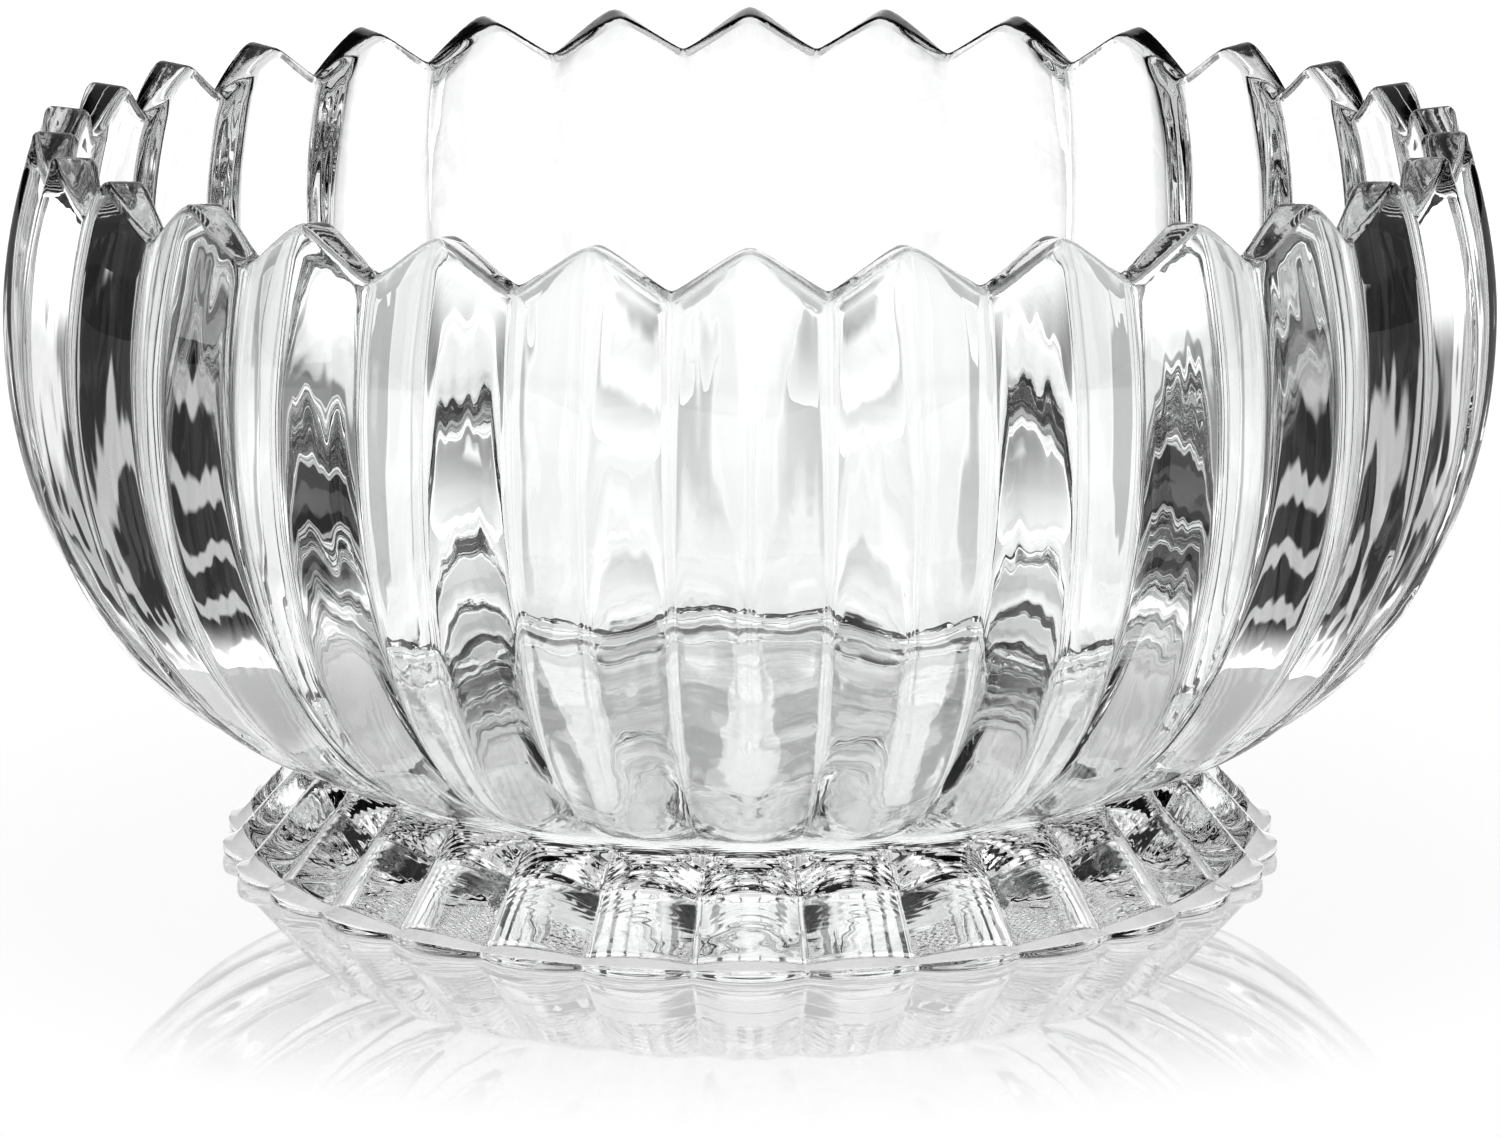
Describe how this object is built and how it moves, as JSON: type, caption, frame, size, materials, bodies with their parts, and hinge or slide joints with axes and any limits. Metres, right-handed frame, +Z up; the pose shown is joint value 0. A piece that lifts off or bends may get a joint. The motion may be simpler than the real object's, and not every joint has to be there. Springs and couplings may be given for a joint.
{
  "type": "footed punch bowl",
  "caption": "Wide clear glass punch bowl with ridged, fluted sides and a toothed rim, standing on a flared scalloped foot ring, for holding and serving punch.",
  "frame": {"origin": "on the ground plane, under the centre of the foot ring", "axes": "+Z up along the bowl's axis of turn, from the foot to the open rim; -Y towards the viewer, through the middle of one ridge; the two sides are alike"},
  "size_m": [0.292, 0.2934, 0.1464],
  "materials": {
    "clear_glass": "fire-polished, colourless",
    "clear_adhesive": "clear cured film"
  },
  "bodies": {
    "root": {"bowl": "clear_glass", "foot": "clear_glass", "bond": "clear_adhesive"}
  },
  "joints": []
}
